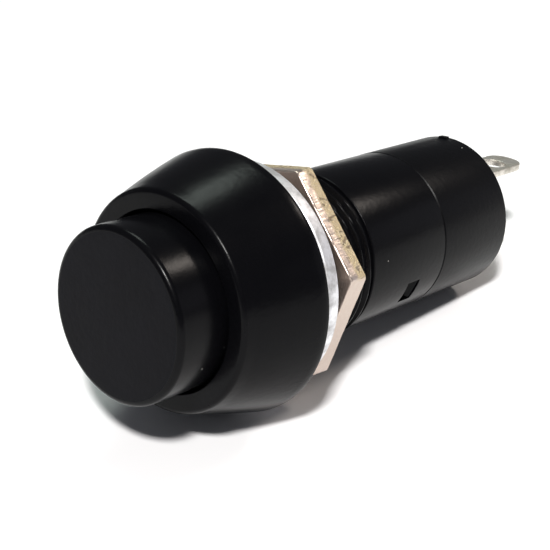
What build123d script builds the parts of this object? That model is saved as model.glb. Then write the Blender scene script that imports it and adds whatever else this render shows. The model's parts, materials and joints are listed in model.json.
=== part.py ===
from build123d import *
import os
from math import cos, pi, radians, sqrt, tan

# A panel-mounted, momentary push button for a 12 mm hole, modelled in millimetres.
# The button's axis is Y: it is pressed from -Y towards +Y, and its solder lugs point to +Y.
# Z is up and X is to the right of someone facing the panel.  The origin is on the axis, in the
# plane where the rim of the bezel sits on the panel.

# ---- driving dimensions -------------------------------------------------------------------

# bezel: the flared collar in front of the panel
BEZEL_HEIGHT = 6.15
BEZEL_LIP = 1.16
BEZEL_FLARE = 1.80
BEZEL_RIM_LAND = 0.42
BEZEL_BULGE = 0.07
BEZEL_EDGE_ROUND = 0.35
BEZEL_EDGE_SPREAD = 0.21
SEAT_LAND = 0.65
SEAT_CHAMFER = 0.18
SEAT_RECESS = 0.5

# bushing and barrel: the rest of the front housing
THREAD_CREST_RADIUS = 6.04
SPIGOT_OVER_THREAD = 0.01
SPIGOT_END = 0.9
THREAD_DEPTH = 0.36
THREAD_PITCH = 0.75
THREAD_LENGTH = 7.54
BARREL_UNDER_THREAD = 0.14
BARREL_WALL = 1.0
BARREL_LENGTH = 8.36
BARREL_EDGE_CHAMFER = 0.12
PARTING_CHAMFER = 0.12
POCKET_DEPTH = 4.65
WEB_THICKNESS = 4.0
CHAMBER_STEP = 0.6
SOCKET_DEPTH = 4.8

# button cap and plunger
CAP_PROUD = 3.75
CAP_RADIUS = 5.85
CAP_CLEARANCE = 0.21
CAP_EDGE_ROUND = 0.38
CAP_LENGTH = 5.4
CAP_TOP = 1.3
CAP_WALL = 1.1
BOSS_RADIUS = 2.9
BOSS_LENGTH = 3.0
PLUG_RADIUS = 1.73
PLUG_SHORT_OF_TOP = 0.3
STEM_RADIUS = 2.24
STEM_CLEARANCE = 0.06
FLANGE_RADIUS = 3.4
FLANGE_THICKNESS = 0.9
SHANK_RADIUS = 1.9

# moving contact
CONTACT_GAP = 1.8
CLOSED_GAP = 0.03
BRIDGE_WIDTH = 2.4
BRIDGE_THICKNESS = 0.4
ROD_RADIUS = 1.0
ROD_CLEARANCE = 0.08
RETAINER_RADIUS = 1.55
RETAINER_THICKNESS = 0.5
TIP_RADIUS = 0.65
TIP_HEIGHT = 0.4
TIP_SHANK_RADIUS = 0.4
TIP_TAIL_RADIUS = 0.6
TIP_TAIL_HEIGHT = 0.15
TIP_OVERHANG = 0.65

# rear base
BASE_OVER_BARREL = 0.02
BASE_LENGTH = 8.1
BASE_EDGE_ROUND = 0.28
BASE_FLOOR = 4.0
SLEEVE_LENGTH = 4.2
SLEEVE_CLEARANCE = 0.04
SLEEVE_WALL = 0.6
FLOOR_POCKET_RADIUS = 1.68
FLOOR_POCKET_DEPTH = 0.7
SNAP_ANGLE = -24.0
SNAP_SET_IN = 3.2
SNAP_WIDTH = 1.9
SNAP_LENGTH = 1.4
SNAP_HEIGHT = 0.92
SNAP_CLEARANCE = 0.12
SNAP_TOP_LENGTH = 0.42
KEY_WIDTH = 0.7
KEY_LENGTH = 0.5
KEY_HEIGHT = 0.12
KEY_SET_IN = 0.3
KEY_ANGLE = 96.0

# solder lugs
LUG_WIDTH = 3.0
LUG_THICKNESS = 0.5
LUG_OFFSET = 2.5
LUG_LENGTH_UPPER = 8.9
LUG_LENGTH_LOWER = 8.2
LUG_EYE_RADIUS = 1.0
LUG_TIP_RADIUS = 1.3
LUG_EYE_SET_IN = 1.3
LUG_SLOT_CLEARANCE = 0.02
FOOT_CLEARANCE = 0.08

# springs
RETURN_WIRE = 0.44
RETURN_MEAN_RADIUS = 3.6
RETURN_TURNS = 5
CONTACT_WIRE = 0.32
CONTACT_MEAN_RADIUS = 1.42
CONTACT_TURNS = 5
CONTACT_ROOM_PER_TURN = 0.78
SPRING_SEAT_GAP = 0.03

# washer and nut
WASHER_CLEARANCE = 0.14
WASHER_WIDTH = 1.84
WASHER_THICKNESS = 1.0
WASHER_GAP = 0.17
WASHER_EDGE_ROUND = 0.16
NUT_WALL = 1.15
NUT_THICKNESS = 1.45
NUT_GAP = 1.23
NUT_TURN = 12.7
NUT_OVER_BARREL = 0.05
NUT_ROOT_CLEARANCE = 0.1
NUT_EDGE_ROUND = 0.1
FLANK_CLEARANCE = 0.08

# small fits between pieces that are assembled together
PRESS_GAP = 0.02

# how far a cut runs past the face it opens, and how deep a joined shape is sunk in its body
OVERCUT = 1.0
SUNK = 0.05

# ---- sizes that follow ------------------------------------------------------------------

FLANK_ANGLE = radians(30)
BEZEL_FRONT = -BEZEL_HEIGHT
POCKET_RADIUS = CAP_RADIUS + CAP_CLEARANCE
BEZEL_FRONT_RADIUS = POCKET_RADIUS + BEZEL_LIP
BEZEL_RIM_RADIUS = BEZEL_FRONT_RADIUS + BEZEL_FLARE
WEB_FRONT = BEZEL_FRONT + POCKET_DEPTH
WEB_REAR = WEB_FRONT + WEB_THICKNESS
SPIGOT_RADIUS = THREAD_CREST_RADIUS + SPIGOT_OVER_THREAD
BARREL_RADIUS = THREAD_CREST_RADIUS - BARREL_UNDER_THREAD
THREAD_END = SPIGOT_END + THREAD_LENGTH
BARREL_END = THREAD_END + BARREL_LENGTH
SOCKET_RADIUS = BARREL_RADIUS - BARREL_WALL
SOCKET_FRONT = BARREL_END - SOCKET_DEPTH
CHAMBER_RADIUS = SOCKET_RADIUS - CHAMBER_STEP
THREAD_ROOT_RADIUS = THREAD_CREST_RADIUS - THREAD_DEPTH
THREAD_CREST_WIDTH = THREAD_PITCH / 8
CAP_FRONT = BEZEL_FRONT - CAP_PROUD
CAP_UNDERSIDE = CAP_FRONT + CAP_TOP
BOSS_REAR = CAP_UNDERSIDE + BOSS_LENGTH
FLANGE_FRONT = WEB_REAR + PRESS_GAP
BASE_RADIUS = BARREL_RADIUS + BASE_OVER_BARREL
BASE_END = BARREL_END + BASE_LENGTH
SNAP_Y = BARREL_END - SNAP_SET_IN
CAVITY_FLOOR = BASE_END - BASE_FLOOR
SLEEVE_RADIUS = SOCKET_RADIUS - SLEEVE_CLEARANCE
CAVITY_RADIUS = SLEEVE_RADIUS - SLEEVE_WALL
FOOT_FRONT = CAVITY_FLOOR - LUG_THICKNESS
FIXED_CONTACT_FRONT = FOOT_FRONT - TIP_HEIGHT
TIP_REAR = FIXED_CONTACT_FRONT - CONTACT_GAP - CLOSED_GAP
BRIDGE_REAR = TIP_REAR - TIP_HEIGHT
BRIDGE_FRONT = BRIDGE_REAR - BRIDGE_THICKNESS
FOOT_END_Z = sqrt((CAVITY_RADIUS - FOOT_CLEARANCE) ** 2 - (LUG_WIDTH / 2) ** 2)
CONTACT_Z = FOOT_END_Z - TIP_OVERHANG
BRIDGE_HALF_LENGTH = CONTACT_Z + TIP_OVERHANG
WASHER_HOLE_RADIUS = THREAD_CREST_RADIUS + WASHER_CLEARANCE
WASHER_RADIUS = WASHER_HOLE_RADIUS + WASHER_WIDTH
WASHER_Y = SPIGOT_END + WASHER_GAP
NUT_Y = WASHER_Y + WASHER_THICKNESS + NUT_GAP
NUT_MINOR_RADIUS = BARREL_RADIUS + NUT_OVER_BARREL
NUT_MAJOR_RADIUS = THREAD_CREST_RADIUS + NUT_ROOT_CLEARANCE
NUT_ACROSS_FLATS = 2 * (NUT_MINOR_RADIUS + NUT_WALL)
ROD_END = BRIDGE_REAR + RETAINER_THICKNESS + 2 * PRESS_GAP
SHOULDER_Y = BRIDGE_FRONT - CONTACT_TURNS * CONTACT_ROOM_PER_TURN


# ---- helpers ------------------------------------------------------------------------------

def turned(*points):
    """A solid of revolution about Y from corner points given as (radius, y)."""
    outline = make_face(Polyline(*points, close=True))
    return revolve(outline, Axis.Y)


def disc(radius, y_from, y_to):
    """A plain cylinder along Y."""
    return turned((0, y_from), (radius, y_from), (radius, y_to), (0, y_to))


def ring(inner, outer, y_from, y_to):
    """A plain tube along Y."""
    return turned((inner, y_from), (outer, y_from), (outer, y_to), (inner, y_to))


def block(x_size, y_from, y_to, z_from, z_to):
    """A box centred on X, given by its limits in Y and Z."""
    middle = Pos(0, (y_from + y_to) / 2, (z_from + z_to) / 2)
    return middle * Box(x_size, y_to - y_from, z_to - z_from)


def about_axis(angle, shape):
    """Turn a shape about the Y axis, from +X towards +Z."""
    return Rot(0, -angle, 0) * shape


def helix_at(radius, y_start, pitch, turns):
    """A right-handed helix about Y that starts at y_start."""
    return Helix(pitch, pitch * turns, radius, center=(0, y_start, 0), direction=(0, 1, 0))


def thread_sweep(y_start, turns, inner, outer, inner_width, outer_width):
    """A helical bar of trapezoidal section between two radii, at the thread's own pitch."""
    path = helix_at(inner, y_start, THREAD_PITCH, turns)
    start = path @ 0
    outward = Vector(start.X, 0, start.Z).normalized()
    section_plane = Plane(origin=start, x_dir=outward, z_dir=outward.cross(Vector(0, 1, 0)))
    depth = outer - inner
    section = make_face(Polyline(
        (0, -inner_width / 2),
        (depth, -outer_width / 2),
        (depth, outer_width / 2),
        (0, inner_width / 2),
        close=True,
    ))
    return sweep(section_plane * section, path=path, is_frenet=True)


def coil(wire, mean_radius, y_from, y_to, turns):
    """A compression spring between two seats."""
    y_first = y_from + wire / 2 + SPRING_SEAT_GAP
    y_last = y_to - wire / 2 - SPRING_SEAT_GAP
    path = helix_at(mean_radius, y_first, (y_last - y_first) / turns, turns)
    section = Plane(origin=path @ 0, z_dir=path % 0) * Circle(wire / 2)
    return sweep(section, path=path, is_frenet=True)


# ---- front housing ------------------------------------------------------------------------

def bezel_solid():
    """The flared collar, with its rounded front edge and the land that sits on the panel."""
    cone_start = BEZEL_FRONT + BEZEL_EDGE_ROUND
    cone_end = -BEZEL_RIM_LAND
    cone_front_radius = BEZEL_FRONT_RADIUS + BEZEL_EDGE_SPREAD
    middle = ((cone_front_radius + BEZEL_RIM_RADIUS) / 2 + BEZEL_BULGE, (cone_start + cone_end) / 2)
    side = ThreePointArc((cone_front_radius, cone_start), middle, (BEZEL_RIM_RADIUS, cone_end))
    seat_outer = BEZEL_RIM_RADIUS - SEAT_CHAMFER
    seat_inner = seat_outer - SEAT_LAND
    edge_start = (BEZEL_FRONT_RADIUS - BEZEL_EDGE_ROUND, BEZEL_FRONT)
    edge = TangentArc(edge_start, (cone_front_radius, cone_start), tangent=(1, 0))
    rest = Polyline(
        (BEZEL_RIM_RADIUS, cone_end),
        (BEZEL_RIM_RADIUS, -SEAT_CHAMFER),
        (seat_outer, 0),
        (seat_inner, 0),
        (seat_inner, -SEAT_RECESS),
        (POCKET_RADIUS / 2, -SEAT_RECESS),
        (POCKET_RADIUS / 2, BEZEL_FRONT),
        edge_start,
    )
    return revolve(make_face([edge, side, rest]), Axis.Y)


def front_housing():
    """Bezel, threaded bushing and barrel: one moulding, open from end to end."""
    core = turned(
        (0, -SEAT_RECESS - SUNK),
        (SPIGOT_RADIUS, -SEAT_RECESS - SUNK),
        (SPIGOT_RADIUS, SPIGOT_END),
        (THREAD_ROOT_RADIUS, SPIGOT_END + SPIGOT_RADIUS - THREAD_ROOT_RADIUS),
        (THREAD_ROOT_RADIUS, THREAD_END),
        (BARREL_RADIUS - BARREL_EDGE_CHAMFER, THREAD_END),
        (BARREL_RADIUS, THREAD_END + BARREL_EDGE_CHAMFER),
        (BARREL_RADIUS, BARREL_END - PARTING_CHAMFER),
        (BARREL_RADIUS - PARTING_CHAMFER, BARREL_END),
        (0, BARREL_END),
    )
    width_at_root = THREAD_CREST_WIDTH + 2 * (THREAD_DEPTH + SUNK) * tan(FLANK_ANGLE)
    y_first = thread_origin()
    turns = (THREAD_END - THREAD_PITCH / 2 - y_first) / THREAD_PITCH
    ridge = thread_sweep(
        y_first, turns, THREAD_ROOT_RADIUS - SUNK, THREAD_CREST_RADIUS,
        width_at_root, THREAD_CREST_WIDTH,
    )
    inside = (
        disc(POCKET_RADIUS, BEZEL_FRONT - OVERCUT, WEB_FRONT)
        + disc(STEM_RADIUS + STEM_CLEARANCE, WEB_FRONT - OVERCUT, WEB_REAR + OVERCUT)
        + disc(CHAMBER_RADIUS, WEB_REAR, SOCKET_FRONT + OVERCUT)
        + disc(SOCKET_RADIUS, SOCKET_FRONT, BARREL_END + OVERCUT)
    )
    housing = bezel_solid() + core - inside
    window = Pos(SOCKET_RADIUS, SNAP_Y, 0) * Box(2 * OVERCUT + 2 * BARREL_WALL, SNAP_LENGTH, SNAP_WIDTH)
    for angle in (SNAP_ANGLE, SNAP_ANGLE + 180):
        housing -= about_axis(angle, window)
    return housing + ridge


def thread_origin():
    """Where the ridge of the housing's thread begins; the nut's groove lies on the same helix."""
    return SPIGOT_END + THREAD_PITCH


# ---- button -------------------------------------------------------------------------------

def button_cap():
    """The round cap: a cup with a socket for the plunger's front end."""
    side = disc(CAP_RADIUS, CAP_FRONT, CAP_FRONT + CAP_LENGTH)
    front_edge = side.edges().sort_by(Axis.Y)[0]
    side = fillet(front_edge, CAP_EDGE_ROUND)
    hollow = disc(CAP_RADIUS - CAP_WALL, CAP_UNDERSIDE, CAP_FRONT + CAP_LENGTH + OVERCUT)
    boss = disc(BOSS_RADIUS, CAP_UNDERSIDE - SUNK, BOSS_REAR)
    socket = disc(PLUG_RADIUS + PRESS_GAP, CAP_UNDERSIDE, BOSS_REAR + OVERCUT)
    return side - hollow + boss - socket


def plunger():
    """The stem that joins the cap to the moving contact, with the flange that stops it."""
    return turned(
        (0, CAP_UNDERSIDE + PLUG_SHORT_OF_TOP),
        (PLUG_RADIUS, CAP_UNDERSIDE + PLUG_SHORT_OF_TOP),
        (PLUG_RADIUS, BOSS_REAR),
        (STEM_RADIUS, BOSS_REAR),
        (STEM_RADIUS, FLANGE_FRONT),
        (FLANGE_RADIUS, FLANGE_FRONT),
        (FLANGE_RADIUS, FLANGE_FRONT + FLANGE_THICKNESS),
        (SHANK_RADIUS, FLANGE_FRONT + FLANGE_THICKNESS),
        (SHANK_RADIUS, SHOULDER_Y),
        (ROD_RADIUS, SHOULDER_Y),
        (ROD_RADIUS, ROD_END),
        (0, ROD_END),
    )


def stem_retainer():
    """The push-on ring that keeps the bridge on the end of the plunger."""
    return ring(
        ROD_RADIUS + PRESS_GAP / 2, RETAINER_RADIUS,
        BRIDGE_REAR + PRESS_GAP, BRIDGE_REAR + PRESS_GAP + RETAINER_THICKNESS,
    )


def return_spring():
    """The spring under the cap, standing on the web of the housing."""
    return coil(RETURN_WIRE, RETURN_MEAN_RADIUS, CAP_UNDERSIDE, WEB_FRONT, RETURN_TURNS)


def contact_spring():
    """The spring that presses the bridge on the fixed contacts once they meet."""
    return coil(CONTACT_WIRE, CONTACT_MEAN_RADIUS, SHOULDER_Y, BRIDGE_FRONT, CONTACT_TURNS)


# ---- contacts -----------------------------------------------------------------------------

def contact_bridge():
    """The flat bar that joins the two fixed contacts, with a hole for the plunger's rod."""
    bar = block(BRIDGE_WIDTH, BRIDGE_FRONT, BRIDGE_REAR, -BRIDGE_HALF_LENGTH, BRIDGE_HALF_LENGTH)
    upright = bar.edges().filter_by(Axis.Y)
    bar = fillet(upright, BRIDGE_WIDTH / 4)
    bar -= disc(ROD_RADIUS + ROD_CLEARANCE, BRIDGE_FRONT - OVERCUT, BRIDGE_REAR + OVERCUT)
    for side in (1, -1):
        hole = disc(TIP_SHANK_RADIUS + PRESS_GAP, BRIDGE_FRONT - OVERCUT, BRIDGE_REAR + OVERCUT)
        bar -= Pos(0, 0, side * CONTACT_Z) * hole
    return bar


def bridge_tip(side):
    """A contact rivet on the bridge: head towards the fixed contact, tail upset in front."""
    rivet = turned(
        (0, BRIDGE_FRONT - TIP_TAIL_HEIGHT),
        (TIP_TAIL_RADIUS, BRIDGE_FRONT - TIP_TAIL_HEIGHT),
        (TIP_TAIL_RADIUS, BRIDGE_FRONT),
        (TIP_SHANK_RADIUS, BRIDGE_FRONT),
        (TIP_SHANK_RADIUS, BRIDGE_REAR),
        (TIP_RADIUS, BRIDGE_REAR),
        (TIP_RADIUS, TIP_REAR),
        (0, TIP_REAR),
    )
    return Pos(0, 0, side * CONTACT_Z) * rivet


def fixed_contact(side):
    """A contact rivet set in the foot of a terminal."""
    rivet = turned(
        (0, FIXED_CONTACT_FRONT),
        (TIP_RADIUS, FIXED_CONTACT_FRONT),
        (TIP_RADIUS, FOOT_FRONT),
        (TIP_SHANK_RADIUS, FOOT_FRONT),
        (TIP_SHANK_RADIUS, CAVITY_FLOOR),
        (0, CAVITY_FLOOR),
    )
    return Pos(0, 0, side * CONTACT_Z) * rivet


def terminal(side, length):
    """A stamped strip: a foot on the cavity's floor, a leg through it and a lug with an eye."""
    leg_inner = LUG_OFFSET - LUG_THICKNESS / 2
    leg_outer = LUG_OFFSET + LUG_THICKNESS / 2
    lug_end = BASE_END + length
    leg = block(LUG_WIDTH, FOOT_FRONT, lug_end, leg_inner, leg_outer)
    corners = leg.edges().filter_by(Axis.Z).group_by(Axis.Y)[-1]
    leg = fillet(corners, LUG_TIP_RADIUS)
    eye_y = lug_end - LUG_TIP_RADIUS - LUG_EYE_SET_IN
    eye = Pos(0, eye_y, LUG_OFFSET) * Cylinder(LUG_EYE_RADIUS, 4 * LUG_THICKNESS)
    foot = block(LUG_WIDTH, FOOT_FRONT, CAVITY_FLOOR, leg_inner, FOOT_END_Z)
    hole = disc(TIP_SHANK_RADIUS + PRESS_GAP, FOOT_FRONT - OVERCUT, CAVITY_FLOOR + OVERCUT)
    strip = leg + foot - eye - Pos(0, 0, CONTACT_Z) * hole
    return strip if side > 0 else Rot(0, 180, 0) * strip


# ---- rear base ----------------------------------------------------------------------------

def rear_base():
    """The rear moulding: a round body, a sleeve that snaps into the barrel and two lug slots."""
    body = disc(BASE_RADIUS, BARREL_END, BASE_END)
    circles = body.edges().filter_by(GeomType.CIRCLE).sort_by(Axis.Y)
    body = fillet(circles[-1], BASE_EDGE_ROUND)
    circles = body.edges().filter_by(GeomType.CIRCLE).sort_by(Axis.Y)
    body = chamfer(circles[0], PARTING_CHAMFER)
    key_y = BASE_END - KEY_SET_IN - KEY_LENGTH / 2
    key = Pos(BASE_RADIUS, key_y, 0) * Box(2 * KEY_HEIGHT, KEY_LENGTH, KEY_WIDTH)
    body += about_axis(KEY_ANGLE, key)
    sleeve_front = BARREL_END - SLEEVE_LENGTH
    body += disc(SLEEVE_RADIUS, sleeve_front, BARREL_END)
    for angle in (SNAP_ANGLE, SNAP_ANGLE + 180):
        body += about_axis(angle, snap_tab())
    body -= disc(CAVITY_RADIUS, sleeve_front - OVERCUT, CAVITY_FLOOR)
    body -= disc(FLOOR_POCKET_RADIUS, CAVITY_FLOOR - SUNK, CAVITY_FLOOR + FLOOR_POCKET_DEPTH)
    slot_width = LUG_WIDTH + 2 * LUG_SLOT_CLEARANCE
    slot_half = LUG_THICKNESS / 2 + LUG_SLOT_CLEARANCE
    for middle in (LUG_OFFSET, -LUG_OFFSET):
        slot_low, slot_high = middle - slot_half, middle + slot_half
        body -= block(slot_width, CAVITY_FLOOR - OVERCUT, BASE_END + OVERCUT, slot_low, slot_high)
    return body


def snap_tab():
    """A wedge on the sleeve, on the +X side, that catches in a window of the barrel."""
    y_low = SNAP_Y - SNAP_LENGTH / 2 + SNAP_CLEARANCE
    y_high = SNAP_Y + SNAP_LENGTH / 2 - SNAP_CLEARANCE
    width = SNAP_WIDTH - 2 * SNAP_CLEARANCE
    inner = SLEEVE_RADIUS - SLEEVE_WALL / 2
    wedge = make_face(Polyline(
        (inner, y_low),
        (SLEEVE_RADIUS, y_low),
        (SLEEVE_RADIUS + SNAP_HEIGHT, y_high - SNAP_TOP_LENGTH),
        (SLEEVE_RADIUS + SNAP_HEIGHT, y_high),
        (inner, y_high),
        close=True,
    ))
    return extrude(wedge, width / 2, both=True)


# ---- washer and nut -----------------------------------------------------------------------

def mounting_washer():
    """The plain washer, with the slightly rounded edges that stamping leaves."""
    flat = ring(WASHER_HOLE_RADIUS, WASHER_RADIUS, WASHER_Y, WASHER_Y + WASHER_THICKNESS)
    circles = flat.edges().filter_by(GeomType.CIRCLE).group_by(SortBy.RADIUS)
    return fillet(circles[-1], WASHER_EDGE_ROUND)


def mounting_nut():
    """The thin stamped hexagon nut, rounded on its front edge, with its internal thread."""
    nut_plane = Plane(origin=(0, NUT_Y, 0), x_dir=(1, 0, 0), z_dir=(0, 1, 0))
    corner_radius = NUT_ACROSS_FLATS / 2 / cos(pi / 6)
    hexagon = nut_plane * RegularPolygon(corner_radius, 6, rotation=-NUT_TURN)
    blank = extrude(hexagon, NUT_THICKNESS)
    front_edges = blank.edges().group_by(Axis.Y)[0]
    blank = fillet(front_edges, NUT_EDGE_ROUND)
    inner = NUT_MINOR_RADIUS - SUNK
    ridge_width = THREAD_CREST_WIDTH + 2 * (THREAD_CREST_RADIUS - inner) * tan(FLANK_ANGLE)
    inner_width = ridge_width + 2 * FLANK_CLEARANCE
    outer_width = inner_width - 2 * (NUT_MAJOR_RADIUS - inner) * tan(FLANK_ANGLE)
    turns_before = int((NUT_Y - thread_origin()) / THREAD_PITCH) - 1
    y_first = thread_origin() + turns_before * THREAD_PITCH
    turns = int(NUT_THICKNESS / THREAD_PITCH) + 4
    groove = thread_sweep(y_first, turns, inner, NUT_MAJOR_RADIUS, inner_width, outer_width)
    # The groove is cut from the solid blank and the bore opened after it.
    return blank - groove - disc(NUT_MINOR_RADIUS, NUT_Y - OVERCUT, NUT_Y + NUT_THICKNESS + OVERCUT)


# ---- writing the pieces ---------------------------------------------------------------------

PIECES = {
    "front_housing": front_housing,
    "button_cap": button_cap,
    "plunger": plunger,
    "stem_retainer": stem_retainer,
    "return_spring": return_spring,
    "contact_spring": contact_spring,
    "contact_bridge": contact_bridge,
    "bridge_tip_upper": lambda: bridge_tip(1),
    "bridge_tip_lower": lambda: bridge_tip(-1),
    "fixed_contact_upper": lambda: fixed_contact(1),
    "fixed_contact_lower": lambda: fixed_contact(-1),
    "terminal_upper": lambda: terminal(1, LUG_LENGTH_UPPER),
    "terminal_lower": lambda: terminal(-1, LUG_LENGTH_LOWER),
    "rear_base": rear_base,
    "mounting_washer": mounting_washer,
    "mounting_nut": mounting_nut,
}

os.makedirs("parts", exist_ok=True)
for name, make in PIECES.items():
    export_step(make(), "parts/" + name + ".step")
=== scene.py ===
"""The looks of a round, panel-mounted push button: meshes, materials, floor, lights and camera.

Every length is in metres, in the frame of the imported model: the button's axis is Y, the cap
faces -Y, the solder lugs point to +Y and Z is up.  Angles about the axis run from +X to +Z.
"""

import json
import math

import bmesh
import bpy
from mathutils import Matrix, Vector


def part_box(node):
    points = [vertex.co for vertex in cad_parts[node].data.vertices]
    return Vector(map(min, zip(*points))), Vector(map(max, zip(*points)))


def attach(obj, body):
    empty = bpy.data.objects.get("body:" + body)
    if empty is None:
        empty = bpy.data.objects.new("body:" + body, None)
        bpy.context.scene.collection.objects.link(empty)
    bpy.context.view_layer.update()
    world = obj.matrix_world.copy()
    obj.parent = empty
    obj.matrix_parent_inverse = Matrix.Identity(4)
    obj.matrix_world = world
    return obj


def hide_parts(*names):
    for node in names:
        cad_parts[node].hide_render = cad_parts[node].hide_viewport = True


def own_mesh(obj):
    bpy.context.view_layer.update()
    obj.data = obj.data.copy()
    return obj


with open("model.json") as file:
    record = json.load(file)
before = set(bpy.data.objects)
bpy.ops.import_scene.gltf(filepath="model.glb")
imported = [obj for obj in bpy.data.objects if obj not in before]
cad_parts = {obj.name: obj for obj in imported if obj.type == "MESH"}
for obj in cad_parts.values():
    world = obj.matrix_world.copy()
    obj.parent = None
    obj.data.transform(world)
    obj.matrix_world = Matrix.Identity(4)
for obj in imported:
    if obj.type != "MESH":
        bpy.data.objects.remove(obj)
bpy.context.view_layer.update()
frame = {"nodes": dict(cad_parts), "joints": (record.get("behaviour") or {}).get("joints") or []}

bl_info = {
    "name": "Panel push button",
    "version": (1, 0, 0),
    "blender": (4, 5, 0),
    "location": "View3D > Sidebar > Push Button",
    "description": "Builds a 12 mm panel push button with its washer, nut and solder lugs",
    "category": "Add Mesh",
}

MM = 0.001
FULL_TURN = 2 * math.pi
NUT_TURN = 12.7  # degrees from +X to a corner of the nut
SNAP_TURNS = (-24, 156)  # degrees from +X to the two snap windows
WINDOW_FRONT, WINDOW_REAR, WINDOW_HALF = 12.9 * MM, 14.3 * MM, 0.95 * MM
TAB_GAP = 0.12 * MM  # between a snap tab and the sides of its window
TAB_HEIGHT = 0.92 * MM  # how far a snap tab stands out of the sleeve
FLANK = math.radians(30)  # half the angle between the thread's flanks
ROUND_COLUMNS = 144  # faces round a turned piece


# ---- colours and properties -------------------------------------------------------------------

def linear(colour):
    """An sRGB colour written as hex, as linear red, green and blue."""
    values = [int(colour[i:i + 2], 16) / 255 for i in (1, 3, 5)]
    return [v / 12.92 if v <= 0.04045 else ((v + 0.055) / 1.055) ** 2.4 for v in values]


def length(name, description, millimetres):
    """A size property, stored in metres."""
    return bpy.props.FloatProperty(
        name=name, description=description, default=millimetres * MM,
        min=0.0, unit="LENGTH", precision=5,
    )


def colour(name, description, value):
    """A colour property from an sRGB hex value."""
    return bpy.props.FloatVectorProperty(
        name=name, description=description, default=linear(value),
        size=3, min=0.0, max=1.0, subtype="COLOR",
    )


class ButtonSizes(bpy.types.PropertyGroup):
    """Sizes that the frame's boxes don't give."""

    bezel_front_radius: length("Bezel front", "Outer radius of the bezel's flat front", 7.22)
    bezel_edge_round: length("Bezel edge", "Rounding of the bezel's front edge", 0.40)
    bezel_bulge: length("Bezel bulge", "How far the flare stands out from a straight cone", 0.07)
    rim_land: length("Rim land", "Length of the straight band at the bezel's rim", 0.42)
    rim_edge_round: length("Rim edge", "Rounding of the rim's edges", 0.15)
    seat_width: length("Seat width", "Width of the ring that sits on the panel", 0.65)
    seat_recess: length("Seat recess", "Depth of the recess inside the seat", 0.50)
    pocket_radius: length("Pocket", "Radius of the pocket that the cap slides in", 6.06)
    pocket_floor: length("Pocket floor", "Depth of the pocket behind the bezel's front", 4.65)
    web_thickness: length("Web", "Thickness of the wall that guides the plunger", 4.00)
    guide_radius: length("Guide", "Radius of the plunger's guide bore", 2.30)
    chamber_radius: length("Chamber", "Radius of the bore inside the bushing", 4.30)
    socket_radius: length("Socket", "Radius of the bore that takes the rear base", 4.90)
    socket_depth: length("Socket depth", "Depth of that bore from the barrel's rear end", 4.80)
    spigot_radius: length("Spigot", "Radius of the plain neck in the panel's hole", 6.05)
    spigot_end: length("Spigot end", "Where the plain neck ends", 0.90)
    thread_pitch: length("Thread pitch", "Distance from one turn of the thread to the next", 0.75)
    thread_crest: length("Thread crest", "Radius of the bushing's thread over its crests", 6.04)
    thread_root: length("Thread root", "Radius of the bushing's thread at its roots", 5.68)
    thread_end: length("Thread end", "Where the barrel begins behind the thread", 8.44)
    barrel_radius: length("Barrel", "Radius of the smooth barrel", 5.90)
    barrel_edge: length("Barrel edge", "Rounding of the barrel's edge behind the thread", 0.10)
    parting_groove: length("Parting groove", "Bevel of each edge where barrel and base meet", 0.08)
    cap_edge_round: length("Cap edge", "Rounding of the cap's front edge", 0.40)
    cap_top: length("Cap top", "Thickness of the cap's face", 1.30)
    cap_wall: length("Cap wall", "Thickness of the cap's skirt", 1.10)
    boss_radius: length("Cap boss", "Radius of the boss under the cap", 2.90)
    boss_length: length("Boss length", "Length of the boss under the cap", 3.00)
    boss_socket: length("Boss socket", "Radius of the socket in the boss", 1.75)
    base_edge_round: length("Base edge", "Rounding of the rear base's edge", 0.28)
    sleeve_radius: length("Sleeve", "Outer radius of the base's sleeve", 4.86)
    sleeve_wall: length("Sleeve wall", "Wall of the base's sleeve", 0.60)
    base_floor: length("Base floor", "Thickness of the floor that holds the lugs", 4.00)
    nut_bore: length("Nut bore", "Radius over the crests of the nut's thread", 5.95)
    nut_groove: length("Nut groove", "Radius at the roots of the nut's thread", 6.14)
    nut_flats: length("Nut flats", "Size of the nut across its flats", 14.20)
    washer_hole: length("Washer hole", "Radius of the washer's hole", 6.18)
    lug_eye: length("Lug eye", "Radius of the eye in each solder lug", 1.00)
    lug_tip_round: length("Lug tip", "Rounding of the corners of each lug's tip", 1.30)
    lug_eye_set_in: length("Eye set in", "Distance from the tip to the eye's middle", 2.60)
    lug_thickness: length("Lug thickness", "Thickness of the lug's strip", 0.50)
    return_wire: length("Return spring wire", "Wire diameter of the return spring", 0.44)
    contact_wire: length("Contact spring wire", "Wire diameter of the contact spring", 0.32)


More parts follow.
